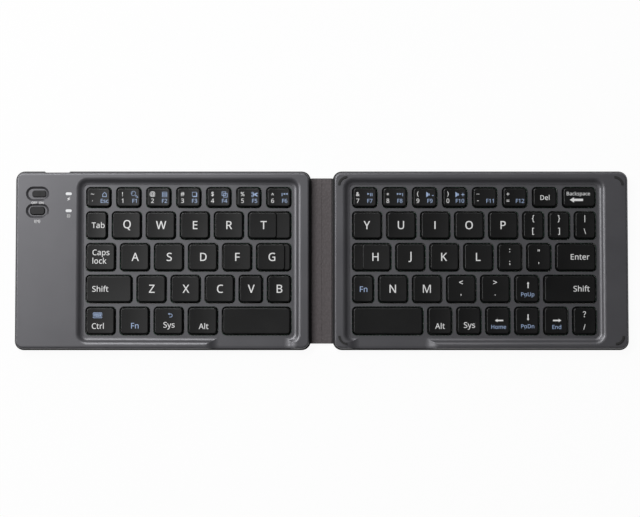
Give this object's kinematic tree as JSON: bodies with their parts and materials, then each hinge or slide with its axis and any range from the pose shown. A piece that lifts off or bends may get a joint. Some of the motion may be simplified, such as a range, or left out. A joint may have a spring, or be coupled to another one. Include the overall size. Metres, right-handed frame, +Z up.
{
  "type": "folding keyboard",
  "caption": "Two-fold pocket keyboard: two slim halves of low scissor keys joined by a soft leather spine, with a slide power switch, a pairing button and a charging port on the left half.",
  "frame": {"origin": "on the table under the middle of the spine, midway front to rear, with the keyboard unfolded", "axes": "+X along the two halves towards the right half, +Y towards the number row, +Z up out of the keys"},
  "size_m": [0.3064, 0.0896, 0.0071],
  "materials": {
    "case_plastic": "fine textured moulding",
    "bezel_plastic": "satin paint over a fine texture",
    "web_plastic": "satin",
    "leather": "fine embossed grain, semi-matt",
    "liner_leather": "fine embossed grain, matt",
    "plate_steel": "plain rolled sheet",
    "membrane_film": "printed polyester film",
    "silicone": "milky silicone",
    "link_plastic": "moulded acetal",
    "screw_steel": "black zinc",
    "switch_plastic": "moulded nylon",
    "knob_plastic": "satin moulding",
    "window_plastic": "smoked clear, polished",
    "port_steel": "stamped tin-plated shell",
    "board_laminate": "solder mask",
    "battery_foil": "laminated foil pouch",
    "ribbon_film": "polyimide film",
    "bumper_rubber": "matt",
    "keycap_plastic": "fine satin texture with printed legends"
  },
  "bodies": {
    "left_half": {"left_bottom_case": "case_plastic", "left_top_bezel": "bezel_plastic", "left_key_web": "web_plastic", "left_back_cover": "leather", "left_support_plate": "plate_steel", "left_switch_membrane": "membrane_film", "left_key_domes": "silicone", "left_scissor_links": "link_plastic", "left_case_screws": "screw_steel", "power_switch_body": "switch_plastic", "pairing_tact_switch": "switch_plastic", "status_light_windows": "window_plastic", "charge_port": "port_steel", "main_board": "board_laminate", "battery": "battery_foil"},
    "spine": {"spine_outer_skin": "leather", "spine_flex_cable": "ribbon_film", "spine_inner_liner": "liner_leather"},
    "right_half": {"right_bottom_case": "case_plastic", "right_top_bezel": "bezel_plastic", "right_key_web": "web_plastic", "right_back_cover": "leather", "right_support_plate": "plate_steel", "right_switch_membrane": "membrane_film", "right_key_domes": "silicone", "right_scissor_links": "link_plastic", "right_case_screws": "screw_steel", "corner_bumpers": "bumper_rubber"},
    "power_knob": {"power_slide_knob": "knob_plastic"},
    "pairing_push_button": {"pairing_button": "knob_plastic"},
    "number_keys_left_body": {"number_keys_left": "keycap_plastic"},
    "tab_key_body": {"tab_key": "keycap_plastic"},
    "letter_keys_q_to_r_body": {"letter_keys_q_to_r": "keycap_plastic"},
    "letter_key_t_body": {"letter_key_t": "keycap_plastic"},
    "caps_lock_key_body": {"caps_lock_key": "keycap_plastic"},
    "letter_keys_a_to_f_body": {"letter_keys_a_to_f": "keycap_plastic"},
    "letter_key_g_body": {"letter_key_g": "keycap_plastic"},
    "shift_key_left_body": {"shift_key_left": "keycap_plastic"},
    "letter_keys_z_to_b_body": {"letter_keys_z_to_b": "keycap_plastic"},
    "control_key_body": {"control_key": "keycap_plastic"},
    "function_key_left_body": {"function_key_left": "keycap_plastic"},
    "system_key_left_body": {"system_key_left": "keycap_plastic"},
    "alt_key_left_body": {"alt_key_left": "keycap_plastic"},
    "space_key_left_body": {"space_key_left": "keycap_plastic"},
    "number_keys_right_body": {"number_keys_right": "keycap_plastic"},
    "backspace_key_body": {"backspace_key": "keycap_plastic"},
    "letter_keys_y_to_p_body": {"letter_keys_y_to_p": "keycap_plastic"},
    "letter_key_h_body": {"letter_key_h": "keycap_plastic"},
    "letter_keys_j_to_l_body": {"letter_keys_j_to_l": "keycap_plastic"},
    "punctuation_keys_body": {"punctuation_keys": "keycap_plastic"},
    "enter_key_body": {"enter_key": "keycap_plastic"},
    "function_key_right_body": {"function_key_right": "keycap_plastic"},
    "letter_keys_n_and_m_body": {"letter_keys_n_and_m": "keycap_plastic"},
    "arrow_up_key_body": {"arrow_up_key": "keycap_plastic"},
    "shift_key_right_body": {"shift_key_right": "keycap_plastic"},
    "space_key_right_body": {"space_key_right": "keycap_plastic"},
    "alt_and_system_keys_right_body": {"alt_and_system_keys_right": "keycap_plastic"},
    "arrow_left_key_body": {"arrow_left_key": "keycap_plastic"},
    "arrow_down_key_body": {"arrow_down_key": "keycap_plastic"},
    "arrow_right_and_slash_keys_body": {"arrow_right_and_slash_keys": "keycap_plastic"}
  },
  "joints": [
    {"name": "left_fold", "type": "hinge", "parent": "left_half", "child": "spine", "pos_m": [-0.0055, 0, 0.0015], "axis": [0, -1, 0], "range_deg": [0, 90]},
    {"name": "right_fold", "type": "hinge", "parent": "spine", "child": "right_half", "pos_m": [0.0055, 0, 0.0015], "axis": [0, -1, 0], "range_deg": [0, 90]},
    {"name": "power_slide", "type": "slide", "parent": "left_half", "child": "power_knob", "axis": [-1, 0, 0], "range_m": [0, 0.0016]},
    {"name": "pairing_press", "type": "slide", "parent": "left_half", "child": "pairing_push_button", "axis": [0, 0, -1], "range_m": [0, 0.0005], "stiffness_N_per_m": 1200},
    {"name": "number_keys_left_press", "type": "slide", "parent": "left_half", "child": "number_keys_left_body", "axis": [0, 0, -1], "range_m": [0, 0.0012], "stiffness_N_per_m": 450, "deforming": ["left_key_domes", "left_scissor_links"]},
    {"name": "tab_key_press", "type": "slide", "parent": "left_half", "child": "tab_key_body", "axis": [0, 0, -1], "range_m": [0, 0.0012], "stiffness_N_per_m": 450},
    {"name": "letter_keys_q_to_r_press", "type": "slide", "parent": "left_half", "child": "letter_keys_q_to_r_body", "axis": [0, 0, -1], "range_m": [0, 0.0012], "stiffness_N_per_m": 450},
    {"name": "letter_key_t_press", "type": "slide", "parent": "left_half", "child": "letter_key_t_body", "axis": [0, 0, -1], "range_m": [0, 0.0012], "stiffness_N_per_m": 450},
    {"name": "caps_lock_key_press", "type": "slide", "parent": "left_half", "child": "caps_lock_key_body", "axis": [0, 0, -1], "range_m": [0, 0.0012], "stiffness_N_per_m": 450},
    {"name": "letter_keys_a_to_f_press", "type": "slide", "parent": "left_half", "child": "letter_keys_a_to_f_body", "axis": [0, 0, -1], "range_m": [0, 0.0012], "stiffness_N_per_m": 450},
    {"name": "letter_key_g_press", "type": "slide", "parent": "left_half", "child": "letter_key_g_body", "axis": [0, 0, -1], "range_m": [0, 0.0012], "stiffness_N_per_m": 450},
    {"name": "shift_key_left_press", "type": "slide", "parent": "left_half", "child": "shift_key_left_body", "axis": [0, 0, -1], "range_m": [0, 0.0012], "stiffness_N_per_m": 450},
    {"name": "letter_keys_z_to_b_press", "type": "slide", "parent": "left_half", "child": "letter_keys_z_to_b_body", "axis": [0, 0, -1], "range_m": [0, 0.0012], "stiffness_N_per_m": 450},
    {"name": "control_key_press", "type": "slide", "parent": "left_half", "child": "control_key_body", "axis": [0, 0, -1], "range_m": [0, 0.0012], "stiffness_N_per_m": 450},
    {"name": "function_key_left_press", "type": "slide", "parent": "left_half", "child": "function_key_left_body", "axis": [0, 0, -1], "range_m": [0, 0.0012], "stiffness_N_per_m": 450},
    {"name": "system_key_left_press", "type": "slide", "parent": "left_half", "child": "system_key_left_body", "axis": [0, 0, -1], "range_m": [0, 0.0012], "stiffness_N_per_m": 450},
    {"name": "alt_key_left_press", "type": "slide", "parent": "left_half", "child": "alt_key_left_body", "axis": [0, 0, -1], "range_m": [0, 0.0012], "stiffness_N_per_m": 450},
    {"name": "space_key_left_press", "type": "slide", "parent": "left_half", "child": "space_key_left_body", "axis": [0, 0, -1], "range_m": [0, 0.0012], "stiffness_N_per_m": 450},
    {"name": "number_keys_right_press", "type": "slide", "parent": "right_half", "child": "number_keys_right_body", "axis": [0, 0, -1], "range_m": [0, 0.0012], "stiffness_N_per_m": 450, "deforming": ["right_key_domes", "right_scissor_links"]},
    {"name": "backspace_key_press", "type": "slide", "parent": "right_half", "child": "backspace_key_body", "axis": [0, 0, -1], "range_m": [0, 0.0012], "stiffness_N_per_m": 450},
    {"name": "letter_keys_y_to_p_press", "type": "slide", "parent": "right_half", "child": "letter_keys_y_to_p_body", "axis": [0, 0, -1], "range_m": [0, 0.0012], "stiffness_N_per_m": 450},
    {"name": "letter_key_h_press", "type": "slide", "parent": "right_half", "child": "letter_key_h_body", "axis": [0, 0, -1], "range_m": [0, 0.0012], "stiffness_N_per_m": 450},
    {"name": "letter_keys_j_to_l_press", "type": "slide", "parent": "right_half", "child": "letter_keys_j_to_l_body", "axis": [0, 0, -1], "range_m": [0, 0.0012], "stiffness_N_per_m": 450},
    {"name": "punctuation_keys_press", "type": "slide", "parent": "right_half", "child": "punctuation_keys_body", "axis": [0, 0, -1], "range_m": [0, 0.0012], "stiffness_N_per_m": 450},
    {"name": "enter_key_press", "type": "slide", "parent": "right_half", "child": "enter_key_body", "axis": [0, 0, -1], "range_m": [0, 0.0012], "stiffness_N_per_m": 450},
    {"name": "function_key_right_press", "type": "slide", "parent": "right_half", "child": "function_key_right_body", "axis": [0, 0, -1], "range_m": [0, 0.0012], "stiffness_N_per_m": 450},
    {"name": "letter_keys_n_and_m_press", "type": "slide", "parent": "right_half", "child": "letter_keys_n_and_m_body", "axis": [0, 0, -1], "range_m": [0, 0.0012], "stiffness_N_per_m": 450},
    {"name": "arrow_up_key_press", "type": "slide", "parent": "right_half", "child": "arrow_up_key_body", "axis": [0, 0, -1], "range_m": [0, 0.0012], "stiffness_N_per_m": 450},
    {"name": "shift_key_right_press", "type": "slide", "parent": "right_half", "child": "shift_key_right_body", "axis": [0, 0, -1], "range_m": [0, 0.0012], "stiffness_N_per_m": 450},
    {"name": "space_key_right_press", "type": "slide", "parent": "right_half", "child": "space_key_right_body", "axis": [0, 0, -1], "range_m": [0, 0.0012], "stiffness_N_per_m": 450},
    {"name": "alt_and_system_keys_right_press", "type": "slide", "parent": "right_half", "child": "alt_and_system_keys_right_body", "axis": [0, 0, -1], "range_m": [0, 0.0012], "stiffness_N_per_m": 450},
    {"name": "arrow_left_key_press", "type": "slide", "parent": "right_half", "child": "arrow_left_key_body", "axis": [0, 0, -1], "range_m": [0, 0.0012], "stiffness_N_per_m": 450},
    {"name": "arrow_down_key_press", "type": "slide", "parent": "right_half", "child": "arrow_down_key_body", "axis": [0, 0, -1], "range_m": [0, 0.0012], "stiffness_N_per_m": 450},
    {"name": "arrow_right_and_slash_keys_press", "type": "slide", "parent": "right_half", "child": "arrow_right_and_slash_keys_body", "axis": [0, 0, -1], "range_m": [0, 0.0012], "stiffness_N_per_m": 450}
  ],
  "couplings": [
    {"joint": "left_fold", "follows": "right_fold", "ratio": 1}
  ]
}
